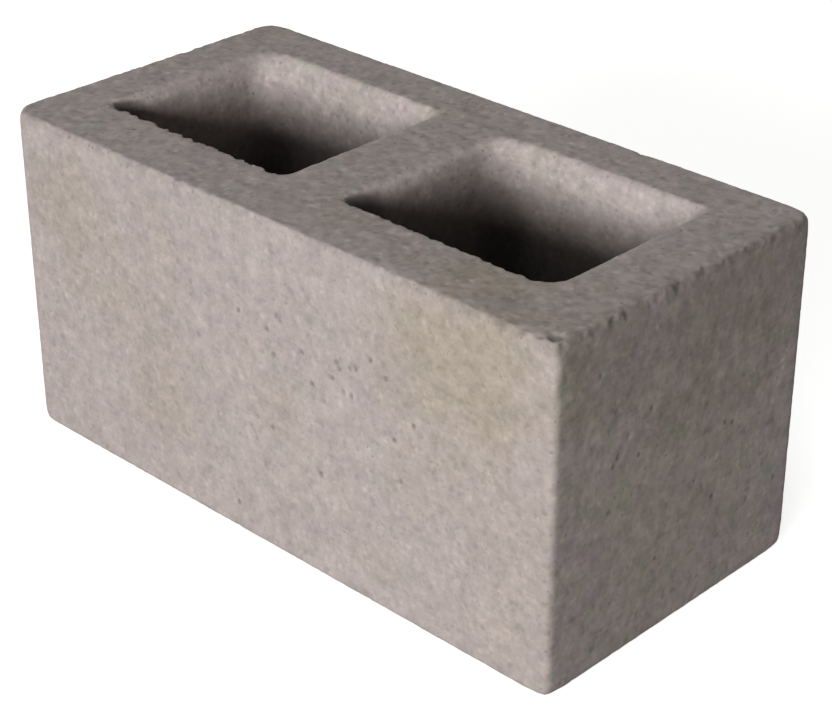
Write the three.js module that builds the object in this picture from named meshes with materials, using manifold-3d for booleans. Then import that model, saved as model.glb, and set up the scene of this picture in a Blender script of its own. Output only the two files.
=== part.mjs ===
// Two-core hollow concrete block, nominally 8 x 8 x 16 in, as it leaves the block machine: one casting.
//
// Frame: millimetres, +Z up. The origin is the middle of the underside. +X runs along the length, +Y across
// the width. The upper bed is the side with the thicker shells and the rolled web edges.

import * as THREE from 'three';
import * as BufferGeometryUtils from 'three/addons/utils/BufferGeometryUtils.js';
import Module from 'manifold-3d';

// Driving dimensions of the outside: the nominal size less the 10 mm mortar joint.
const LENGTH = 397;
const WIDTH = 194;
const HEIGHT = 194;

// Wall thicknesses. Every wall thins towards the lower bed, so that the core bars draw out of the casting.
const FACE_SHELL_TOP = 38;
const FACE_SHELL_BOTTOM = 34;
const END_WEB_TOP = 41;
const END_WEB_BOTTOM = 37;
const CENTRE_WEB_TOP = 51;
const CENTRE_WEB_BOTTOM = 45;

// The upper edges of the webs roll over into the cores, while the face shells keep a sharp inner edge.
const WEB_ROLL_RADIUS = 9;
const ROLL_STEPS = 8;

// Corners of the cores in plan, at the two beds.
const CORE_CORNER_TOP = 13;
const CORE_CORNER_BOTTOM = 17;
const CORNER_STEPS = 5;

// Outer edges: the upright ones are rounded by the mould, the bed edges are only slightly eased.
const UPRIGHT_EDGE_RADIUS = 4;
const BED_EDGE_EASING = 1.5;
const UPRIGHT_EDGE_STEPS = 3;
const BED_EDGE_STEPS = 3;

// How far the core bars run past the beds, so that both mouths are cut clean through.
const OVERRUN = 10;

const concrete = new THREE.MeshStandardMaterial({ color: 0xaaa39d, roughness: 0.95, metalness: 0 });

/** A rectangle of the given size with round corners, centred on (cx, 0), drawn anticlockwise. */
function roundedRectangle(cx, length, width, radius) {
  const x = length / 2 - radius;
  const y = width / 2 - radius;
  const shape = new THREE.Shape();
  shape.absarc(cx + x, y, radius, 0, Math.PI / 2);
  shape.absarc(cx - x, y, radius, Math.PI / 2, Math.PI);
  shape.absarc(cx - x, -y, radius, Math.PI, 1.5 * Math.PI);
  shape.absarc(cx + x, -y, radius, 1.5 * Math.PI, 2 * Math.PI);
  shape.closePath();
  return shape;
}

/** The points of a closed outline, with the closing point left out. */
function outlinePoints(shape, steps) {
  const points = shape.getPoints(steps);
  const last = points.length - 1;
  return points[0].distanceTo(points[last]) < 1e-6 ? points.slice(0, last) : points;
}

/** Joins outlines of equal point count, given from the bottom up, into one closed solid with flat ends. */
function loft(outlines) {
  const ring = outlines[0].points.length;
  const positions = outlines.flatMap(({ points, z }) => points.flatMap((p) => [p.x, p.y, z]));
  const indices = [];
  for (let level = 0; level < outlines.length - 1; level += 1) {
    for (let i = 0; i < ring; i += 1) {
      const a = level * ring + i;
      const b = level * ring + ((i + 1) % ring);
      indices.push(a, b, b + ring, a, b + ring, a + ring);
    }
  }
  const lastLevel = (outlines.length - 1) * ring;
  for (const [i, j, k] of THREE.ShapeUtils.triangulateShape(outlines[0].points, [])) {
    indices.push(i, k, j);
    indices.push(lastLevel + i, lastLevel + j, lastLevel + k);
  }
  const geometry = new THREE.BufferGeometry();
  geometry.setAttribute('position', new THREE.Float32BufferAttribute(positions, 3));
  geometry.setIndex(indices);
  return geometry;
}

/** The size that the core has at height z, before the webs roll over. */
function coreAt(z) {
  const { lerp } = THREE.MathUtils;
  const t = z / HEIGHT;
  return {
    inner: lerp(CENTRE_WEB_BOTTOM, CENTRE_WEB_TOP, t) / 2,
    outer: LENGTH / 2 - lerp(END_WEB_BOTTOM, END_WEB_TOP, t),
    width: WIDTH - 2 * lerp(FACE_SHELL_BOTTOM, FACE_SHELL_TOP, t),
    corner: lerp(CORE_CORNER_BOTTOM, CORE_CORNER_TOP, t),
  };
}

/** One outline of the core bar, flared at both webs. Side is 1 for the core at +X and -1 for the one at -X. */
function coreOutline(side, z, flare) {
  const { inner, outer, width, corner } = coreAt(z);
  const middle = (side * (inner + outer)) / 2;
  const shape = roundedRectangle(middle, outer - inner + 2 * flare, width, corner);
  return { z, points: outlinePoints(shape, CORNER_STEPS) };
}

/** The bar that forms one core: a drafted shaft whose two ends flare out where the webs roll over. */
function coreBar(side) {
  const outlines = [coreOutline(side, -OVERRUN, 0)];
  const rollStart = HEIGHT - WEB_ROLL_RADIUS;
  for (let step = 0; step <= ROLL_STEPS; step += 1) {
    const angle = (step / ROLL_STEPS) * (Math.PI / 2);
    const z = rollStart + WEB_ROLL_RADIUS * Math.sin(angle);
    const flare = WEB_ROLL_RADIUS * (1 - Math.cos(angle));
    outlines.push(coreOutline(side, z, flare));
  }
  outlines.push(coreOutline(side, HEIGHT + OVERRUN, WEB_ROLL_RADIUS));
  return loft(outlines);
}

/** The outside of the block, without its cores. */
function moulding() {
  const eased = roundedRectangle(
    0,
    LENGTH - 2 * BED_EDGE_EASING,
    WIDTH - 2 * BED_EDGE_EASING,
    UPRIGHT_EDGE_RADIUS - BED_EDGE_EASING,
  );
  const geometry = new THREE.ExtrudeGeometry(eased, {
    depth: HEIGHT - 2 * BED_EDGE_EASING,
    curveSegments: UPRIGHT_EDGE_STEPS,
    bevelSize: BED_EDGE_EASING,
    bevelThickness: BED_EDGE_EASING,
    bevelSegments: BED_EDGE_STEPS,
  });
  return geometry.translate(0, 0, BED_EDGE_EASING);
}

const wasm = await Module();
wasm.setup();

/** A closed geometry as a solid that can be cut. */
function toSolid(geometry) {
  const bare = geometry.clone();
  bare.deleteAttribute('normal');
  bare.deleteAttribute('uv');
  const merged = BufferGeometryUtils.mergeVertices(bare, 1e-4);
  const vertProperties = new Float32Array(merged.attributes.position.array);
  const triVerts = new Uint32Array(merged.index.array);
  return new wasm.Manifold(new wasm.Mesh({ numProp: 3, vertProperties, triVerts }));
}

/** A cut solid as a geometry that can be drawn. */
function toGeometry(solid) {
  const { vertProperties, triVerts } = solid.getMesh();
  const geometry = new THREE.BufferGeometry();
  geometry.setAttribute('position', new THREE.BufferAttribute(vertProperties, 3));
  geometry.setIndex(new THREE.BufferAttribute(triVerts, 1));
  geometry.computeVertexNormals();
  return geometry;
}

let casting = toSolid(moulding());
for (const side of [-1, 1]) {
  casting = casting.subtract(toSolid(coreBar(side)));
}

const block = new THREE.Mesh(toGeometry(casting), concrete);
block.name = 'hollow_block';

const group = new THREE.Group();
group.add(block);

export default group;
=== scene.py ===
"""Looks of a two-core hollow concrete block: its worn edges, chips and open sandy grain."""

import math
import random

import bpy
import numpy as np
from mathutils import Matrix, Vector, kdtree


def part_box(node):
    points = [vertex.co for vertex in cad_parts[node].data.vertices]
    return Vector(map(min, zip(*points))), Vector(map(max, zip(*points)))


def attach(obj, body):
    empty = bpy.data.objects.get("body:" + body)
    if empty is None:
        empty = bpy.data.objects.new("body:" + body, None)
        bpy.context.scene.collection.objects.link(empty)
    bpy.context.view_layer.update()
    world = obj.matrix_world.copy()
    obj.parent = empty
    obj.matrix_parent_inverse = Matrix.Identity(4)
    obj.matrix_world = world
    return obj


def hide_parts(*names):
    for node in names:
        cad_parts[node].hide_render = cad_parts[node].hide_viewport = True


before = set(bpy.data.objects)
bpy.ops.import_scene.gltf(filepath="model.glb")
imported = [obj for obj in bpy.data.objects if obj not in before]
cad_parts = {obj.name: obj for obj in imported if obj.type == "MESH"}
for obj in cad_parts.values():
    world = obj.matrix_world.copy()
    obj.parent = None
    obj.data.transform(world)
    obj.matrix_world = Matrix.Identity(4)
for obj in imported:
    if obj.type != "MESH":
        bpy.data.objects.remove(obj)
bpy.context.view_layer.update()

MM = 0.001
NODE = "hollow_block"
LOW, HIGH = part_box(NODE)
LENGTH, WIDTH, HEIGHT = HIGH - LOW
CENTRE = (LOW + HIGH) / 2

# The view: its width and focal length in pixels, and the camera's place round the block.
IMAGE_WIDTH = 832
FOCAL_PIXELS = 2193
SENSOR_WIDTH = 36.0
CAMERA_AZIMUTH = 44.10
CAMERA_ELEVATION = 28.54
CAMERA_DISTANCE = 3.0 * LENGTH
AIM_RIGHT = 0.032 * LENGTH
AIM_UP = -0.050 * LENGTH

# All lamps stand this far off. Each has an azimuth and elevation in degrees, a size in metres, and a level.
LAMP_DISTANCE = 4.0
LAMPS = {
    "key_softbox": (19.5, 15.5, (2.1, 1.1), 0.92),
    "high_softbox": (-45, 65, (2.3, 2.3), 0.20),
    "side_softbox": (-90, 5, (1.8, 0.6), 0.25),
    "rear_softbox": (180, 4, (2.4, 0.5), 0.30),
}
SURROUND_LEVEL = 0.003
FLOOR_SIDE = 12
# What the floor adds to its own light where the camera sees it.
FLOOR_LIFT = (0.8, 0.8, 0.8, 1)

# Wall thicknesses at the two beds. At the upper one the webs and the back shell roll over into the cores.
FACE_SHELL_TOP, FACE_SHELL_BOTTOM = 38 * MM, 34 * MM
END_WEB_TOP, END_WEB_BOTTOM = 41 * MM, 37 * MM
CENTRE_WEB_TOP, CENTRE_WEB_BOTTOM = 51 * MM, 45 * MM
WEB_ROLL = 9 * MM
BACK_LIP = 4 * MM
ROLL_STEPS = 8
# Where each core's inner and outer end walls stand, from the middle of the block, at the two beds.
INNER_TOP, OUTER_TOP = CENTRE_WEB_TOP / 2, LENGTH / 2 - END_WEB_TOP
INNER_BOTTOM, OUTER_BOTTOM = CENTRE_WEB_BOTTOM / 2, LENGTH / 2 - END_WEB_BOTTOM
# The core bars stood a little to the left and back of the middle when this block was rammed.
CORE_OFFSET = Vector((-4 * MM, 3 * MM, 0))
# Corner radii of each core in plan: front left, front right, back left, back right.
CORE_CORNERS = {
    "left_bar": (6 * MM, 8 * MM, 19 * MM, 8 * MM),
    "right_bar": (8 * MM, 17 * MM, 19 * MM, 8 * MM),
}
CORE_CORNER_STEPS = 8
OVERRUN = 10 * MM

# Outer edges. The front left one has worn rounder than the mould left it, and the front right one is crisp.
UPRIGHT_EDGE, CRISP_EDGE, WORN_EDGE = 6 * MM, 3.5 * MM, 11 * MM
BED_EDGE = 1.2 * MM

# The mesh that carries the relief.
VOXEL = 1.25 * MM
TRIANGLE_LIMIT = 190_000
SEED = 11

# How far wear reaches in from an arris, from the two upper ones that crumble and from a corner, and how often
# it is smoothed. The upper front right corner has worn least.
ARRIS_WEAR, CRUMBLED_WEAR, CORNER_WEAR = 7 * MM, 8 * MM, 15 * MM
ARRIS_PASSES, CORNER_PASSES, CRUMB_PASSES = 5, 45, 2
CRISP_CORNER_SHARE = 0.3
# How far the wear of the front lips reaches from them and past their ends. The right one has worn less.
FRONT_LIP_WEAR, FRONT_LIP_ENDS = 9 * MM, 8 * MM
RIGHT_LIP_SHARE = 0.55
LOW_LIP_WEAR = 6 * MM
# The upper bed's relief starts this far down the sides and is full this near the top.
BED_RELIEF_START, BED_RELIEF_FULL = 4 * MM, 1 * MM
# A strip this wide along the back, where the bed is struck off, has this much less of it.
STRUCK_WIDTH, STRUCK_SHARE = 16 * MM, 0.8

# Bites out of the arrises: place, radius and depth in millimetres.
BITES = (
    (163, -97, 194, 5, 1.2), (175, -97, 193, 4, 1.4), (186, -96, 194, 3, 1.3), (198, -34, 194, 5, 0.9),
    (198, -9, 194, 5, 1.1), (198, 12, 194, 4, 0.9), (-60, -97, 194, 4, 0.9), (40, -97, 194, 5, 0.8),
    (-198, 30, 194, 5, 0.6), (90, 97, 194, 5, 0.7), (-198, -60, 0, 5, 1.2), (-120, 97, 0, 5, 1.2),
    (-198, 97, 60, 5, 1.4), (30, 97, 0, 7, 1.8), (192, -91, 194, 4, 1.8),
)

# Pits where single grains came away, as places on each face in millimetres.
FRONT_PITS = (
    (-15, 135), (14, 142), (16, 140), (6, 132), (32, 128), (11, 119), (57, 132), (59, 129), (66, 132),
    (70, 133), (81, 142), (54, 122), (39, 113), (62, 117), (67, 117), (91, 136), (47, 106), (-3, 77),
    (-9, 70), (8, 75), (110, 117), (97, 104), (101, 82), (44, 62), (-21, 17),
)
END_PITS = (
    (-55, 88), (28, 60), (-50, 116), (-53, 113), (-43, 125), (-53, 142), (-26, 133), (82, 48), (-66, 166),
    (58, 45), (41, 98),
)
TOP_PITS = ((-174, -21), (-172, -10))
PIT_RADII, PIT_DEPTHS = (1.6, 2.4), (0.5, 0.9)
# More pits lie anywhere, each as deep as this share of its radius.
SCATTERED_PITS = 70
SCATTERED_RADII = (1.2, 2.6)
SCATTERED_DEPTH = 0.32
# A hollow runs out at this many times its radius. One this deep gets the darkest painted shade.
HOLLOW_REACH = 1.3
DARKEST_HOLLOW = 1.6 * MM

# The seen faces, in millimetres, where some patterns change.
FRONT_FACE, RIGHT_FACE, UPPER_BED = -WIDTH / 2 / MM, LENGTH / 2 / MM, HEIGHT / MM

# Yellowed places, and places where the right end face is darker: centre and radius in millimetres, and how
# far the paste has turned or darkened.
YELLOWED = (
    (145, -97, 165, 62, 0.62), (-150, -97, 150, 36, 0.35), (198, -20, 90, 95, 0.35),
    (-198, 40, 90, 50, 0.4), (60, 97, 120, 60, 0.4),
)
END_DARK_PLACES = ((198, 40, 185, 85, 0.55), (198, -60, 190, 60, 0.45))

# How far down the left and right cores the painted shade reaches its darkest.
LEFT_CORE_DARK, RIGHT_CORE_DARK = 80 * MM, 71 * MM
# In two places the painted shade is as dark as it is this much further down elsewhere, and the difference
# fades out over this width. One is the right core's side of the centre web. The other is each core's front
# left corner, a painted shadow of the front shell.
WEB_SHADE, WEB_SHADE_WIDTH = 18 * MM, 25 * MM
CORNER_SHADOW, CORNER_SHADOW_WIDTH = 84 * MM, 35 * MM
# At the lower mouths the painted shade is only as dark as it is this far down, and the extra shade of the two
# places fades out above them.
LOWER_MOUTH_DEPTH, SHADE_FADE = 30 * MM, 60 * MM
# How far into a wall from its core a place still gets the painted shade.
SHADE_MARGIN = 3 * MM
# How light the core walls are painted at each share of the way down to fully dark: painted light just below
# the lip, painted shade deeper down.
CORE_SHADE_CURVE = (
    (0, 1.0), (0.06, 1.08), (0.15, 1.12), (0.25, 1.0), (0.38, 0.8), (0.53, 0.6), (0.7, 0.36), (0.9, 0.24),
    (1, 0.22),
)


def deselect_all():
    """Leaves object mode active with nothing selected."""
    if bpy.context.object and bpy.context.object.mode != "OBJECT":
        bpy.ops.object.mode_set(mode="OBJECT")
    bpy.ops.object.select_all(action="DESELECT")


def add_box(name, low, high):
    """A cuboid between two corners, with its place in its mesh."""
    deselect_all()
    low, high = Vector(low), Vector(high)
    bpy.ops.mesh.primitive_cube_add(size=1, location=(low + high) / 2, scale=high - low)
    bpy.ops.object.transform_apply(location=True, rotation=True, scale=True)
    piece = bpy.context.object
    piece.name = name
    return piece


def select_where(piece, kind, test):
    """In edit mode, selects only the edges or polygons that pass the test on their vertices' places."""
    bpy.ops.mesh.select_mode(type={"edges": "EDGE", "polygons": "FACE"}[kind])
    bpy.ops.mesh.select_all(action="DESELECT")
    bpy.ops.object.mode_set(mode="OBJECT")
    mesh = piece.data
    for item in getattr(mesh, kind):
        item.select = test([mesh.vertices[i].co for i in item.vertices])
    bpy.ops.object.mode_set(mode="EDIT")


def apply_modifier(piece, kind, **settings):
    """Adds a modifier with these settings and applies it."""
    deselect_all()
    bpy.context.view_layer.objects.active = piece
    piece.select_set(True)
    modifier = piece.modifiers.new(kind.title(), kind)
    for key, value in settings.items():
        setattr(modifier, key, value)
    bpy.ops.object.modifier_apply(modifier=modifier.name)


def stands_at(corner):
    """A test for the tall edge whose upper end is at this corner in plan."""
    def test(points):
        low, high = sorted(points, key=lambda p: p.z)
        return high.z - low.z > HEIGHT / 2 and math.dist(high.xy, corner) < MM
    return test


def bevel_where(piece, test, offset, segments):
    """In edit mode, rounds the edges whose ends pass the test."""
    select_where(piece, "edges", test)
    bpy.ops.mesh.bevel(offset=offset, segments=segments, profile=0.5)


def core_bar(name, side):
    """The bar that forms a core: a drafted shaft, flared where the webs roll over. Side 1 is the right."""
    roll_start = HEIGHT - WEB_ROLL
    near, far = sorted((side * INNER_TOP, side * OUTER_TOP))
    middle = (near + far) / 2
    half_width = WIDTH / 2 - FACE_SHELL_TOP
    bar = add_box(name, (near, -half_width, -OVERRUN), (far, half_width, roll_start))

    bpy.ops.object.mode_set(mode="EDIT")
    select_where(bar, "polygons", lambda points: max(p.z for p in points) < 0)
    length, foot_length = OUTER_TOP - INNER_TOP, OUTER_BOTTOM - INNER_BOTTOM
    foot_width = WIDTH - 2 * FACE_SHELL_BOTTOM
    bpy.ops.transform.resize(
        value=(foot_length / length, foot_width / (2 * half_width), 1),
        center_override=(middle, 0, -OVERRUN),
    )
    corners = [(x, y) for y in (-half_width, half_width) for x in (near, far)]
    for corner, radius in zip(corners, CORE_CORNERS[name]):
        bevel_where(bar, stands_at(corner), radius, CORE_CORNER_STEPS)

    select_where(bar, "polygons", lambda points: min(p.z for p in points) > roll_start - MM)
    span, depth, z = length, 2 * half_width, roll_start
    for step in range(1, ROLL_STEPS + 1):
        angle = math.pi / 2 * step / ROLL_STEPS
        new_z = roll_start + WEB_ROLL * math.sin(angle)
        new_span = length + 2 * WEB_ROLL * (1 - math.cos(angle))
        new_depth = 2 * half_width + BACK_LIP * (1 - math.cos(angle))
        bpy.ops.mesh.extrude_region_move(TRANSFORM_OT_translate={"value": (0, 0, new_z - z)})
        bpy.ops.transform.resize(
            value=(new_span / span, new_depth / depth, 1),
            center_override=(middle, -half_width, new_z),
        )
        span, depth, z = new_span, new_depth, new_z
    bpy.ops.mesh.extrude_region_move(TRANSFORM_OT_translate={"value": (0, 0, OVERRUN)})
    bpy.ops.mesh.select_all(action="SELECT")
    bpy.ops.transform.translate(value=CORE_OFFSET)
    bpy.ops.object.mode_set(mode="OBJECT")
    return bar


def cut(piece, cutter):
    """Takes the cutter's shape out of the piece and removes the cutter."""
    apply_modifier(piece, "BOOLEAN", operation="DIFFERENCE", solver="EXACT", object=cutter)
    bpy.data.objects.remove(cutter)


def cast_block():
    """The block as it leaves the mould, with even edges."""
    block = add_box("cast_block", LOW, HIGH)
    bpy.ops.object.mode_set(mode="EDIT")
    bevel_where(block, stands_at((LOW.x, LOW.y)), WORN_EDGE, segments=10)
    bevel_where(block, stands_at((HIGH.x, LOW.y)), CRISP_EDGE, segments=6)
    for x in (LOW.x, HIGH.x):
        bevel_where(block, stands_at((x, HIGH.y)), UPRIGHT_EDGE, segments=8)
    bevel_where(block, lambda points: points[0].z == points[1].z, BED_EDGE, segments=3)
    bpy.ops.object.mode_set(mode="OBJECT")
    for side, name in ((-1, "left_bar"), (1, "right_bar")):
        cut(block, core_bar(name, side))
    return block


def vertex_places(piece):
    """The vertices' coordinates as rows."""
    flat = np.empty(len(piece.data.vertices) * 3, np.float32)
    piece.data.vertices.foreach_get("co", flat)
    return flat.reshape(-1, 3)


def from_cores(places):
    """The x, y and z of these places, with x and y counted from midway between the two cores."""
    return (places - np.array(CORE_OFFSET, np.float32)).T


def falloff(distance, reach):
    """1 at no distance, falling smoothly to 0 at the reach."""
    t = np.clip(1 - distance / reach, 0, 1)
    return t * t * (3 - 2 * t)


def ramp(value, start, end):
    """0 up to the start, rising evenly to 1 at the end."""
    return np.clip((value - start) / (end - start), 0, 1)


def weigh(piece, name, weights):
    """Adds a vertex group with one weight for each vertex."""
    group = piece.vertex_groups.new(name=name)
    levels = np.round(weights, 2)
    for level in np.unique(levels[levels > 0]):
        group.add(np.flatnonzero(levels == level).tolist(), float(level), "REPLACE")


def weigh_edges(block, places):
    """Groups for the arrises, the two upper ones that crumble, and the corners."""
    x, y, z = places.T
    # How far each vertex is from the nearest end, face and bed, the smallest first.
    gaps = np.sort([LENGTH / 2 - abs(x), WIDTH / 2 - abs(y), np.minimum(z, HEIGHT - z)], axis=0)
    weigh(block, "arris", falloff(np.hypot(gaps[0], gaps[1]), ARRIS_WEAR))
    weigh(block, "front_arris", falloff(np.hypot(y + WIDTH / 2, HEIGHT - z), CRUMBLED_WEAR))
    weigh(block, "end_arris", falloff(np.hypot(LENGTH / 2 - x, HEIGHT - z), CRUMBLED_WEAR))
    corner = falloff(np.linalg.norm(gaps, axis=0), CORNER_WEAR)
    crisp = (x > 0) & (y < 0) & (z > HEIGHT / 2)
    weigh(block, "corner", corner * np.where(crisp, CRISP_CORNER_SHARE, 1.0))


def weigh_lips(block, places):
    """Groups for the front lips of the mouths, ragged on the left one and straighter on the right one, and
    for the mouths in the lower bed, where the wet mix tore as the plate left it."""
    x, y, z = from_cores(places)
    beside_mouth = falloff(np.maximum(INNER_TOP - abs(x), abs(x) - OUTER_TOP), FRONT_LIP_ENDS)
    near = falloff(np.hypot(y + WIDTH / 2 - FACE_SHELL_TOP, HEIGHT - z), FRONT_LIP_WEAR)
    weigh(block, "front_lip", near * beside_mouth * np.where(x < 0, 1.0, RIGHT_LIP_SHARE))

    middle = (OUTER_BOTTOM + INNER_BOTTOM) / 2
    half_length = (OUTER_BOTTOM - INNER_BOTTOM) / 2
    past_wall = np.maximum(abs(abs(x) - middle) - half_length, abs(y) - WIDTH / 2 + FACE_SHELL_BOTTOM)
    weigh(block, "low_lip", falloff(np.hypot(past_wall, z), LOW_LIP_WEAR))


def weigh_bed(block, places):
    """A group for the upper bed. It is struck off towards the back, so it is smoother there."""
    _, y, z = places.T
    rough = 1 - STRUCK_SHARE * falloff(WIDTH / 2 - y, STRUCK_WIDTH)
    weigh(block, "upper_bed", rough * ramp(z, HEIGHT - BED_RELIEF_START, HEIGHT - BED_RELIEF_FULL))


def listed_pits():
    """Every listed pit: its place in millimetres and the way its face looks."""
    front = [(Vector((x, FRONT_FACE, z)), Vector((0, -1, 0))) for x, z in FRONT_PITS]
    end = [(Vector((RIGHT_FACE, y, z)), Vector((1, 0, 0))) for y, z in END_PITS]
    top = [(Vector((x, y, UPPER_BED)), Vector((0, 0, 1))) for x, y in TOP_PITS]
    return front + end + top


def bites_and_pits(places):
    """Every bite and pit: its centre, radius and depth in metres."""
    dice = random.Random(SEED)
    found = [(Vector((x, y, z)) * MM, radius * MM, depth * MM) for x, y, z, radius, depth in BITES]
    for place, _ in listed_pits():
        found.append((place * MM, dice.uniform(*PIT_RADII) * MM, dice.uniform(*PIT_DEPTHS) * MM))
    for index in dice.sample(range(len(places)), SCATTERED_PITS):
        radius = dice.uniform(*SCATTERED_RADII) * MM
        found.append((Vector(places[index]), radius, radius * SCATTERED_DEPTH))
    return found


def weigh_hollows(block, places):
    """A group that sinks the surface to the depth of each bite and pit. Gives the depth at full weight."""
    hollows = bites_and_pits(places)
    deepest = max(depth for _, _, depth in hollows)
    weights = np.zeros(len(places))
    for centre, radius, depth in hollows:
        distance = np.linalg.norm(places - np.array(centre, np.float32), axis=1)
        weights = np.maximum(weights, falloff(distance, radius * HOLLOW_REACH) * depth / deepest)
    weigh(block, "hollows", weights)
    return deepest


def cloud_texture(name, size, low, high, octaves=2):
    """Lumpy noise of a real size: nothing below the low level of the noise, all above the high one."""
    texture = bpy.data.textures.new(name, "CLOUDS")
    texture.noise_scale = size
    texture.noise_depth = octaves
    texture.use_color_ramp = True
    first, last = texture.color_ramp.elements
    first.position, first.color = low, (0, 0, 0, 1)
    last.position, last.color = high, (1, 1, 1, 1)
    return texture


def sink(piece, depth, texture, group="", direction="NORMAL", mid_level=0):
    """Sinks the surface by the depth where the texture is full. A negative depth raises it."""
    apply_modifier(
        piece, "DISPLACE", texture=texture, texture_coords="LOCAL", strength=-depth,
        vertex_group=group, direction=direction, mid_level=mid_level,
    )


def smooth(piece, group, passes):
    """Rounds off what the group covers."""
    apply_modifier(piece, "SMOOTH", factor=0.5, iterations=passes, vertex_group=group)


def weather(block):
    """Remeshes the block finely, wears its edges round and opens its surface."""
    apply_modifier(block, "REMESH", mode="VOXEL", voxel_size=VOXEL)
    places = vertex_places(block)
    weigh_edges(block, places)
    weigh_lips(block, places)
    weigh_bed(block, places)
    deepest = weigh_hollows(block, places)

    smooth(block, "arris", ARRIS_PASSES)
    smooth(block, "corner", CORNER_PASSES)
    worn = vertex_places(block)

    # Each front lip breaks up to 1.1 mm to either side of its line.
    teeth = cloud_texture("front_lip_teeth", 5.5 * MM, 0.35, 0.65)
    sink(block, -2.2 * MM, teeth, "front_lip", direction="Y", mid_level=0.5)
    sink(block, 1.2 * MM, cloud_texture("low_lip_breaks", 8 * MM, 0.4, 0.7), "low_lip")
    sink(block, 0.2 * MM, cloud_texture("arris_grain", 3 * MM, 0.35, 0.75), "arris")
    crumbs = cloud_texture("arris_crumbs", 4.5 * MM, 0.3, 0.7)
    sink(block, -0.8 * MM, crumbs, "front_arris", direction="Y")
    sink(block, 1.2 * MM, crumbs, "end_arris", direction="X")
    smooth(block, "arris", CRUMB_PASSES)
    sink(block, deepest, cloud_texture("hollow_grain", 2.5 * MM, -0.6, 0.6), "hollows")
    sink(block, 0.5 * MM, cloud_texture("struck_bed", 6 * MM, 0.3, 0.8), "upper_bed")
    sink(block, 0.10 * MM, cloud_texture("sand", 5 * MM, 0.25, 0.75))
    sink(block, 0.25 * MM, cloud_texture("open_grain", 4 * MM, 0.68, 0.80, octaves=1))
    block.vertex_groups.clear()
    rough = vertex_places(block)

    triangles = sum(len(p.vertices) - 2 for p in block.data.polygons)
    apply_modifier(block, "DECIMATE", ratio=min(1, TRIANGLE_LIMIT / triangles))
    bpy.ops.object.shade_smooth()
    mark_hollows(block, rough, np.linalg.norm(rough - worn, axis=1))
    mark_core_shade(block)


def attribute(piece, name, values):
    """Stores one number for each vertex, for the material to read."""
    made = piece.data.attributes.new(name, "FLOAT", "POINT")
    made.data.foreach_set("value", np.asarray(values, np.float32))


def mark_hollows(block, places, sunk):
    """Stores how deep each vertex lies in a hollow, from how far the nearest of these places has sunk."""
    tree = kdtree.KDTree(len(places))
    for i, place in enumerate(places):
        tree.insert(place, i)
    tree.balance()
    nearest = [tree.find(place)[1] for place in vertex_places(block)]
    attribute(block, "hollow", np.clip(sunk[nearest] / DARKEST_HOLLOW, 0, 1))


def mark_core_shade(block):
    """Stores how deep each vertex lies in a core, plus painted shadow in two places, as a share of the depth
    where the painted shade is darkest.
    """
    x, y, z = from_cores(vertex_places(block))
    between_shells = abs(y) < WIDTH / 2 - FACE_SHELL_BOTTOM + SHADE_MARGIN
    between_ends = abs(x) < OUTER_BOTTOM + SHADE_MARGIN
    depth = HEIGHT - z
    # Painted shade on the right core's side of the centre web.
    extra_shade = WEB_SHADE * falloff(abs(x - INNER_TOP), WEB_SHADE_WIDTH) * ramp(depth, 1 * MM, 5 * MM)

    # Painted shadow of the front shell in each core's front left corner.
    core_middle = (OUTER_TOP + INNER_TOP) / 2
    left_half = x < np.where(x < 0, -core_middle, core_middle)
    behind_shell = y + WIDTH / 2 - FACE_SHELL_TOP
    corner = left_half * ramp(behind_shell, 1.5 * MM, 4.5 * MM) * falloff(behind_shell, CORNER_SHADOW_WIDTH)
    # The closer to the corner, the nearer the lip the painted shadow starts.
    start = (1 - 0.625 * corner) * MM
    extra_shade += CORNER_SHADOW * corner * ramp(depth, start, 5 * start)

    depth = np.minimum(depth, z + LOWER_MOUTH_DEPTH) + extra_shade * ramp(z, 0, SHADE_FADE)
    dark = np.where(x < 0, LEFT_CORE_DARK, RIGHT_CORE_DARK)
    attribute(block, "core_depth", (between_shells & between_ends) * np.clip(depth / dark, 0, 1))


def linear(hex_colour):
    """An sRGB hex colour as linear RGBA."""
    channels = [int(hex_colour[i:i + 2], 16) / 255 for i in (1, 3, 5)]
    curve = [c / 12.92 if c <= 0.04045 else ((c + 0.055) / 1.055) ** 2.4 for c in channels]
    return (*curve, 1.0)


def node(tree, kind, inputs=None, **settings):
    """Adds a node. Settings name its properties and plain inputs. Inputs that a socket feeds, or that go by
    number, are given apart. Text in an input is a hex colour."""
    made = tree.nodes.new(kind)
    values = dict(inputs or {})
    for key, value in settings.items():
        if key in made.bl_rna.properties:
            setattr(made, key, value)
        else:
            values[key.replace("_", " ")] = value
    for key, value in values.items():
        if isinstance(value, bpy.types.NodeSocket):
            tree.links.new(value, made.inputs[key])
        else:
            made.inputs[key].default_value = linear(value) if isinstance(value, str) else value
    return made


def shape_curve(curve_node, points):
    """Gives a curve node these points."""
    curve = curve_node.mapping.curves[0]
    curve.points[0].location = points[0]
    curve.points[-1].location = points[-1]
    for point in points[1:-1]:
        curve.points.new(*point)
    curve_node.mapping.clip_max_y = 2
    curve_node.mapping.update()


def new_material(name):
    """An empty node material and its tree."""
    material = bpy.data.materials.new(name)
    material.use_nodes = True
    material.node_tree.nodes.clear()
    return material, material.node_tree


def noise_level(tree, where, size, low, high, detail=2):
    """Noise with lumps of a size in mm, as a level from low to high."""
    noise = node(tree, "ShaderNodeTexNoise", where, Scale=1 / size, Detail=detail, Roughness=0.55)
    level = node(tree, "ShaderNodeMapRange", {"Value": noise.outputs["Fac"]},
                 From_Min=0.3, From_Max=0.7, To_Min=low, To_Max=high)
    return level.outputs[0]


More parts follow.
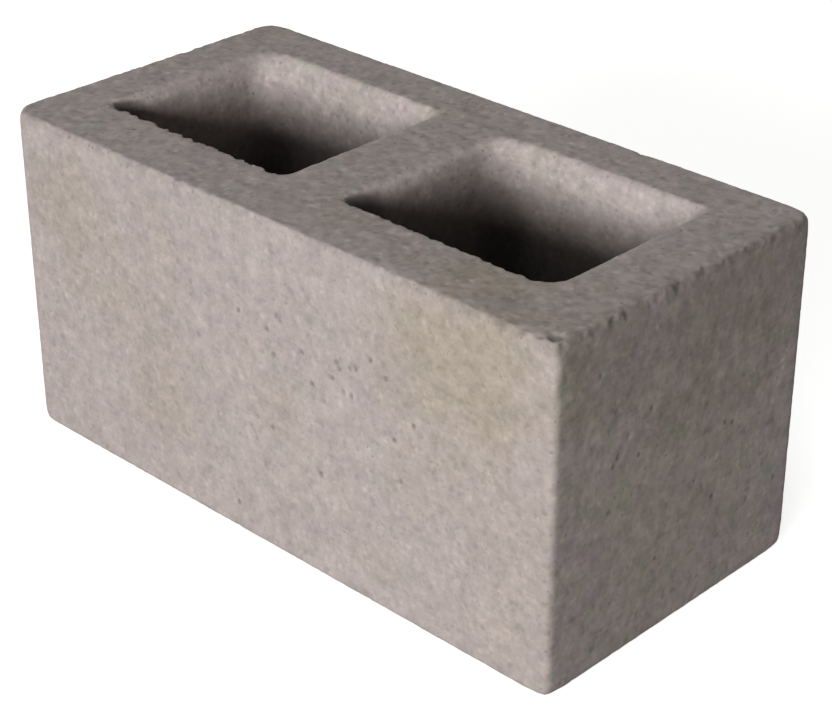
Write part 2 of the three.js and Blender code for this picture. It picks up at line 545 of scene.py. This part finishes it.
def speckle(tree, where, size, spread):
    """Round soft spots of a size in mm, each lighter or darker by up to the spread."""
    spots = node(tree, "ShaderNodeTexVoronoi", where, Scale=1 / size)
    tone = node(tree, "ShaderNodeSeparateColor", {"Color": spots.outputs["Color"]})
    shift = node(tree, "ShaderNodeMapRange", {"Value": tone.outputs[2]}, To_Min=-spread, To_Max=spread)
    middle = node(tree, "ShaderNodeMapRange", {"Value": spots.outputs["Distance"]},
                  interpolation_type="SMOOTHSTEP", From_Min=0.15, From_Max=0.65, To_Min=1, To_Max=0)
    level = node(tree, "ShaderNodeMath", {0: shift.outputs[0], 1: middle.outputs[0], 2: 1},
                 operation="MULTIPLY_ADD")
    return level.outputs[0]


def round_holes(tree, where, spacing, share, radius, soft_outside, soft_inside):
    """Round holes of many sizes, up to a radius, in a share of cells of a spacing in mm: 1 inside, 0 outside.
    The radius, and how far the border reaches out and in, are in parts of the spacing."""
    cells = node(tree, "ShaderNodeTexVoronoi", where, Scale=1 / spacing)
    size = node(tree, "ShaderNodeSeparateColor", {"Color": cells.outputs["Color"]})
    reach = node(tree, "ShaderNodeMapRange", {"Value": size.outputs[1]}, From_Min=1 - share, To_Max=radius)
    gap = node(tree, "ShaderNodeMath", {0: reach.outputs[0], 1: cells.outputs["Distance"]},
               operation="SUBTRACT")
    level = node(tree, "ShaderNodeMapRange", {"Value": gap.outputs[0]},
                 From_Min=-soft_outside, From_Max=soft_inside)
    return level.outputs[0]


def turned(tree, where, places, drift):
    """How far the paste has turned: round these places, with wide ragged borders, and in faint drifts."""
    amount = noise_level(tree, where, 60, -drift, drift, detail=3)
    ragged = noise_level(tree, where, 28, -24, 24, detail=4)
    for x, y, z, radius, strength in places:
        away = node(tree, "ShaderNodeVectorMath", {0: where["Vector"], 1: (x, y, z)}, operation="DISTANCE")
        border = node(tree, "ShaderNodeMath", {0: away.outputs["Value"], 1: ragged}, operation="ADD")
        level = node(tree, "ShaderNodeMapRange", {"Value": border.outputs[0]},
                     From_Min=radius * 0.4, From_Max=radius * 1.3, To_Min=strength, To_Max=0)
        most = node(tree, "ShaderNodeMath", {0: amount, 1: level.outputs[0]}, operation="MAXIMUM")
        amount = most.outputs[0]
    return amount


def listed_pit_level(tree, where):
    """How deep a point lies in a listed pit, from 0 outside to 1. The pits are ragged and of uneven size."""
    dice = random.Random(SEED)
    distances = []
    for place, way_out in listed_pits():
        # The further its centre stands off the face, the smaller the pit.
        centre = place + way_out * dice.uniform(0.1, 1.1)
        away = node(tree, "ShaderNodeVectorMath", {0: where["Vector"], 1: centre}, operation="DISTANCE")
        distances.append(away.outputs["Value"])
    nearest = distances[0]
    for distance in distances[1:]:
        nearest = node(tree, "ShaderNodeMath", {0: distance, 1: nearest}, operation="MINIMUM").outputs[0]
    ragged = noise_level(tree, where, 1.5, -0.4, 0.4)
    border = node(tree, "ShaderNodeMath", {0: nearest, 1: ragged}, operation="ADD")
    level = node(tree, "ShaderNodeMapRange", {"Value": border.outputs[0]},
                 From_Min=0.3, From_Max=2.2, To_Min=1, To_Max=0)
    return level.outputs[0]


def paste_colour(tree, where, side, core_depth):
    """Cement paste: pinkish grey, patched with green and violet some 20 mm across, yellowed, and darker in
    patches on the right end face.
    """
    # The patches are faint on the front, which rubbed clean against the mould, and strong on the other sides.
    # They are half as strong on the struck bed and all but gone in the cores.
    patchy = node(tree, "ShaderNodeMapRange", {"Value": side.outputs["Y"]},
                  From_Min=FRONT_FACE + 0.5, From_Max=FRONT_FACE + 2.5, To_Min=0.25, To_Max=1.3)
    outside_cores = node(tree, "ShaderNodeMapRange", {"Value": core_depth},
                         From_Max=0.06, To_Min=1, To_Max=0.25)
    struck = node(tree, "ShaderNodeMapRange", {"Value": side.outputs["Z"]},
                  From_Min=UPPER_BED - 3, From_Max=UPPER_BED - 0.5, To_Min=1, To_Max=0.45)
    for level in (outside_cores, struck):
        patchy = node(tree, "ShaderNodeMath", {0: patchy.outputs[0], 1: level.outputs[0]},
                      operation="MULTIPLY")
    green, violet = [
        node(tree, "ShaderNodeMath", {0: noise_level(tree, where, size, -0.8, 0.8), 1: patchy.outputs[0]},
             operation="MULTIPLY")
        for size in (20, 26)
    ]
    # The darker patches lie on the right end face and stop at its arrises.
    end_face = node(tree, "ShaderNodeMapRange", {"Value": side.outputs["X"]},
                    From_Min=RIGHT_FACE - 3, From_Max=RIGHT_FACE - 0.5)
    end_darkening = node(tree, "ShaderNodeMath", {0: turned(tree, where, END_DARK_PLACES, 0.1), 1: end_face.outputs[0]},
                 operation="MULTIPLY")

    colour = "#b7aba7"
    for amount, tint in (
        (green.outputs[0], "#a4a598"),
        (violet.outputs[0], "#b3a3a9"),
        (turned(tree, where, YELLOWED, 0.3), "#a89c88"),
        (end_darkening.outputs[0], "#8f8478"),
    ):
        mix = node(tree, "ShaderNodeMix", {"Factor": amount, "A": colour}, data_type="RGBA", B=tint)
        colour = mix.outputs["Result"]
    return colour


def mix_tone(tree, where, side):
    """Mottling 15 mm and 7 mm across where the mix was wetter or drier, and clumps of sand some 4 mm and
    2.6 mm across. All of it is a little weaker on the front face."""
    tone = noise_level(tree, where, 15, 0.92, 1.08)
    mottling = noise_level(tree, where, 7, 0.87, 1.13)
    for level in (mottling, speckle(tree, where, 4.2, 0.18), speckle(tree, where, 2.6, 0.10)):
        tone = node(tree, "ShaderNodeMath", {0: tone, 1: level}, operation="MULTIPLY").outputs[0]
    contrast = node(tree, "ShaderNodeMath", {0: tone, 1: 1}, operation="SUBTRACT")
    coarse = node(tree, "ShaderNodeMapRange", {"Value": side.outputs["Y"]},
                  From_Min=FRONT_FACE + 0.5, From_Max=FRONT_FACE + 2.5, To_Min=0.8)
    level = node(tree, "ShaderNodeMath", {0: contrast.outputs[0], 1: coarse.outputs[0], 2: 1},
                 operation="MULTIPLY_ADD")
    return level.outputs[0]


def grain_tone(tree, where):
    """Sand grains 1.4 mm across, each of its own tone, with a few pale and a few dark ones."""
    grains = node(tree, "ShaderNodeTexVoronoi", where, Scale=1 / 1.4)
    tone = node(tree, "ShaderNodeSeparateColor", {"Color": grains.outputs["Color"]})
    level = node(tree, "ShaderNodeFloatCurve", {"Value": tone.outputs[0]})
    shape_curve(level, ((0, 0.88), (0.05, 0.985), (0.5, 1.0), (0.95, 1.015), (1, 1.06)))
    return level.outputs[0]


def dry_cast_concrete():
    """Dry-cast concrete: barely damp sand, grit and cement rammed in a steel mould. It is matt and sandy, and
    full of pores."""
    material, tree = new_material("dry_cast_concrete")
    # Every pattern reads its place on the block in millimetres.
    place = node(tree, "ShaderNodeTexCoord")
    scale = node(tree, "ShaderNodeMapping", {"Vector": place.outputs["Object"]}, Scale=(1000, 1000, 1000))
    where = {"Vector": scale.outputs[0]}
    side = node(tree, "ShaderNodeSeparateXYZ", where)
    core = node(tree, "ShaderNodeAttribute", attribute_name="core_depth")
    colour = paste_colour(tree, where, side, core.outputs["Fac"])
    for tone in (mix_tone(tree, where, side), grain_tone(tree, where)):
        colour = node(tree, "ShaderNodeVectorMath", {0: colour, "Scale": tone}, operation="SCALE").outputs[0]

    # Pores up to some 2 mm across between the grains, and pinholes up to some 3 mm across where larger grains
    # came away. Their darker colours are painted shade.
    pore = round_holes(tree, where, 3.2, 0.45, 0.34, 0.04, 0.2)
    stray = round_holes(tree, where, 17, 0.6, 0.1, 0.02, 0.05)
    hole = node(tree, "ShaderNodeMath", {0: stray, 1: listed_pit_level(tree, where)}, operation="MAXIMUM")
    for level, shade in ((pore, "#958a84"), (hole.outputs[0], "#857a73")):
        mix = node(tree, "ShaderNodeMix", {"Factor": level, "A": colour}, data_type="RGBA", B=shade)
        colour = mix.outputs["Result"]

    # Painted shade darkens the hollows, and the cores get painted light just below the lip and painted shade
    # deeper down.
    hollow = node(tree, "ShaderNodeAttribute", attribute_name="hollow")
    hollow_shade = node(tree, "ShaderNodeMapRange", {"Value": hollow.outputs["Fac"]}, To_Min=1.02, To_Max=0.62)
    core_shade = node(tree, "ShaderNodeFloatCurve", {"Value": core.outputs["Fac"]})
    shape_curve(core_shade, CORE_SHADE_CURVE)
    for tone in (hollow_shade.outputs[0], core_shade.outputs[0]):
        colour = node(tree, "ShaderNodeVectorMath", {0: colour, "Scale": tone}, operation="SCALE").outputs[0]

    # Bump: the grit stands out, and the pores and pinholes sink.
    grit = noise_level(tree, where, 1.8, 0, 1)
    sunk = node(tree, "ShaderNodeMath", {0: pore, 1: hole.outputs[0]}, operation="MAXIMUM")
    height = node(tree, "ShaderNodeMath", {0: grit, 1: sunk.outputs[0]}, operation="SUBTRACT")
    bump = node(tree, "ShaderNodeBump", {"Height": height.outputs[0]}, Strength=1.0, Distance=0.03 * MM)
    shader = node(tree, "ShaderNodeBsdfPrincipled", {"Base Color": colour, "Normal": bump.outputs[0]},
                  Roughness=0.93)
    node(tree, "ShaderNodeOutputMaterial", {"Surface": shader.outputs[0]})
    return material


def studio_floor():
    """A pale floor that keeps the shadow. It looks near white, but gives back only a grey floor's light."""
    deselect_all()
    bpy.ops.mesh.primitive_plane_add(size=FLOOR_SIDE, location=(0, 0, 0))
    floor = bpy.context.object
    floor.name = "studio_floor"
    material, tree = new_material("painted_floor")
    seen = node(tree, "ShaderNodeLightPath").outputs["Is Camera Ray"]
    tint = node(tree, "ShaderNodeMix", {"Factor": seen}, data_type="RGBA", A="#949392", B="#e6e5e3")
    paint = node(tree, "ShaderNodeBsdfDiffuse", {"Color": tint.outputs["Result"]})
    lift = node(tree, "ShaderNodeEmission", {"Strength": seen}, Color=FLOOR_LIFT)
    both = node(tree, "ShaderNodeAddShader", {0: paint.outputs[0], 1: lift.outputs[0]})
    node(tree, "ShaderNodeOutputMaterial", {"Surface": both.outputs[0]})
    floor.data.materials.append(material)


def white_surround(level):
    """A white backdrop to the camera, and a weak even light to the object."""
    world = bpy.data.worlds.new("surround")
    bpy.context.scene.world = world
    world.use_nodes = True
    tree = world.node_tree
    tree.nodes.clear()
    path = node(tree, "ShaderNodeLightPath")
    seen = path.outputs["Is Camera Ray"]
    for ray in ("Is Glossy Ray", "Is Transmission Ray"):
        either = node(tree, "ShaderNodeMath", {0: seen, 1: path.outputs[ray]}, operation="MAXIMUM")
        seen = either.outputs[0]
    weak = node(tree, "ShaderNodeBackground", Color="#ffffff", Strength=level)
    white = node(tree, "ShaderNodeBackground", Color="#ffffff", Strength=1.0)
    mix = node(tree, "ShaderNodeMixShader", {0: seen, 1: weak.outputs[0], 2: white.outputs[0]})
    node(tree, "ShaderNodeOutputWorld", {"Surface": mix.outputs[0]})


def way_to(azimuth, elevation):
    """The way from the block to a place round it, by degrees. Azimuth 0 is its front, 90 its right end."""
    turn, rise = math.radians(azimuth), math.radians(elevation)
    return Vector((math.sin(turn) * math.cos(rise), -math.cos(turn) * math.cos(rise), math.sin(rise)))


def softbox(name, azimuth, elevation, size, level):
    """A soft lamp aimed at the block. At level 1, a face turned to it looks as bright as its own colour."""
    direction = way_to(azimuth, elevation)
    data = bpy.data.lights.new(name, "AREA")
    data.shape = "RECTANGLE"
    data.size, data.size_y = size
    data.energy = level * math.pi ** 2 * LAMP_DISTANCE ** 2
    lamp = bpy.data.objects.new(name, data)
    bpy.context.scene.collection.objects.link(lamp)
    lamp.location = CENTRE + direction * LAMP_DISTANCE
    lamp.rotation_euler = direction.to_track_quat("Z", "Y").to_euler()


def camera():
    """The camera, aimed a little beside the middle of the block."""
    back = way_to(CAMERA_AZIMUTH, CAMERA_ELEVATION)
    right = way_to(CAMERA_AZIMUTH + 90, 0)
    up = back.cross(right)
    data = bpy.data.cameras.new("camera")
    data.sensor_width = SENSOR_WIDTH
    data.lens = FOCAL_PIXELS / IMAGE_WIDTH * SENSOR_WIDTH
    view = bpy.data.objects.new("camera", data)
    bpy.context.scene.collection.objects.link(view)
    view.location = CENTRE + back * CAMERA_DISTANCE + right * AIM_RIGHT + up * AIM_UP
    view.rotation_euler = back.to_track_quat("Z", "Y").to_euler()
    bpy.context.scene.camera = view


block = cast_block()
weather(block)
block.data.materials.clear()
block.data.materials.append(dry_cast_concrete())
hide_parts(NODE)
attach(block, "root")

camera()
studio_floor()
white_surround(SURROUND_LEVEL)
for name, settings in LAMPS.items():
    softbox(name, *settings)
bpy.context.scene.view_settings.view_transform = "Standard"
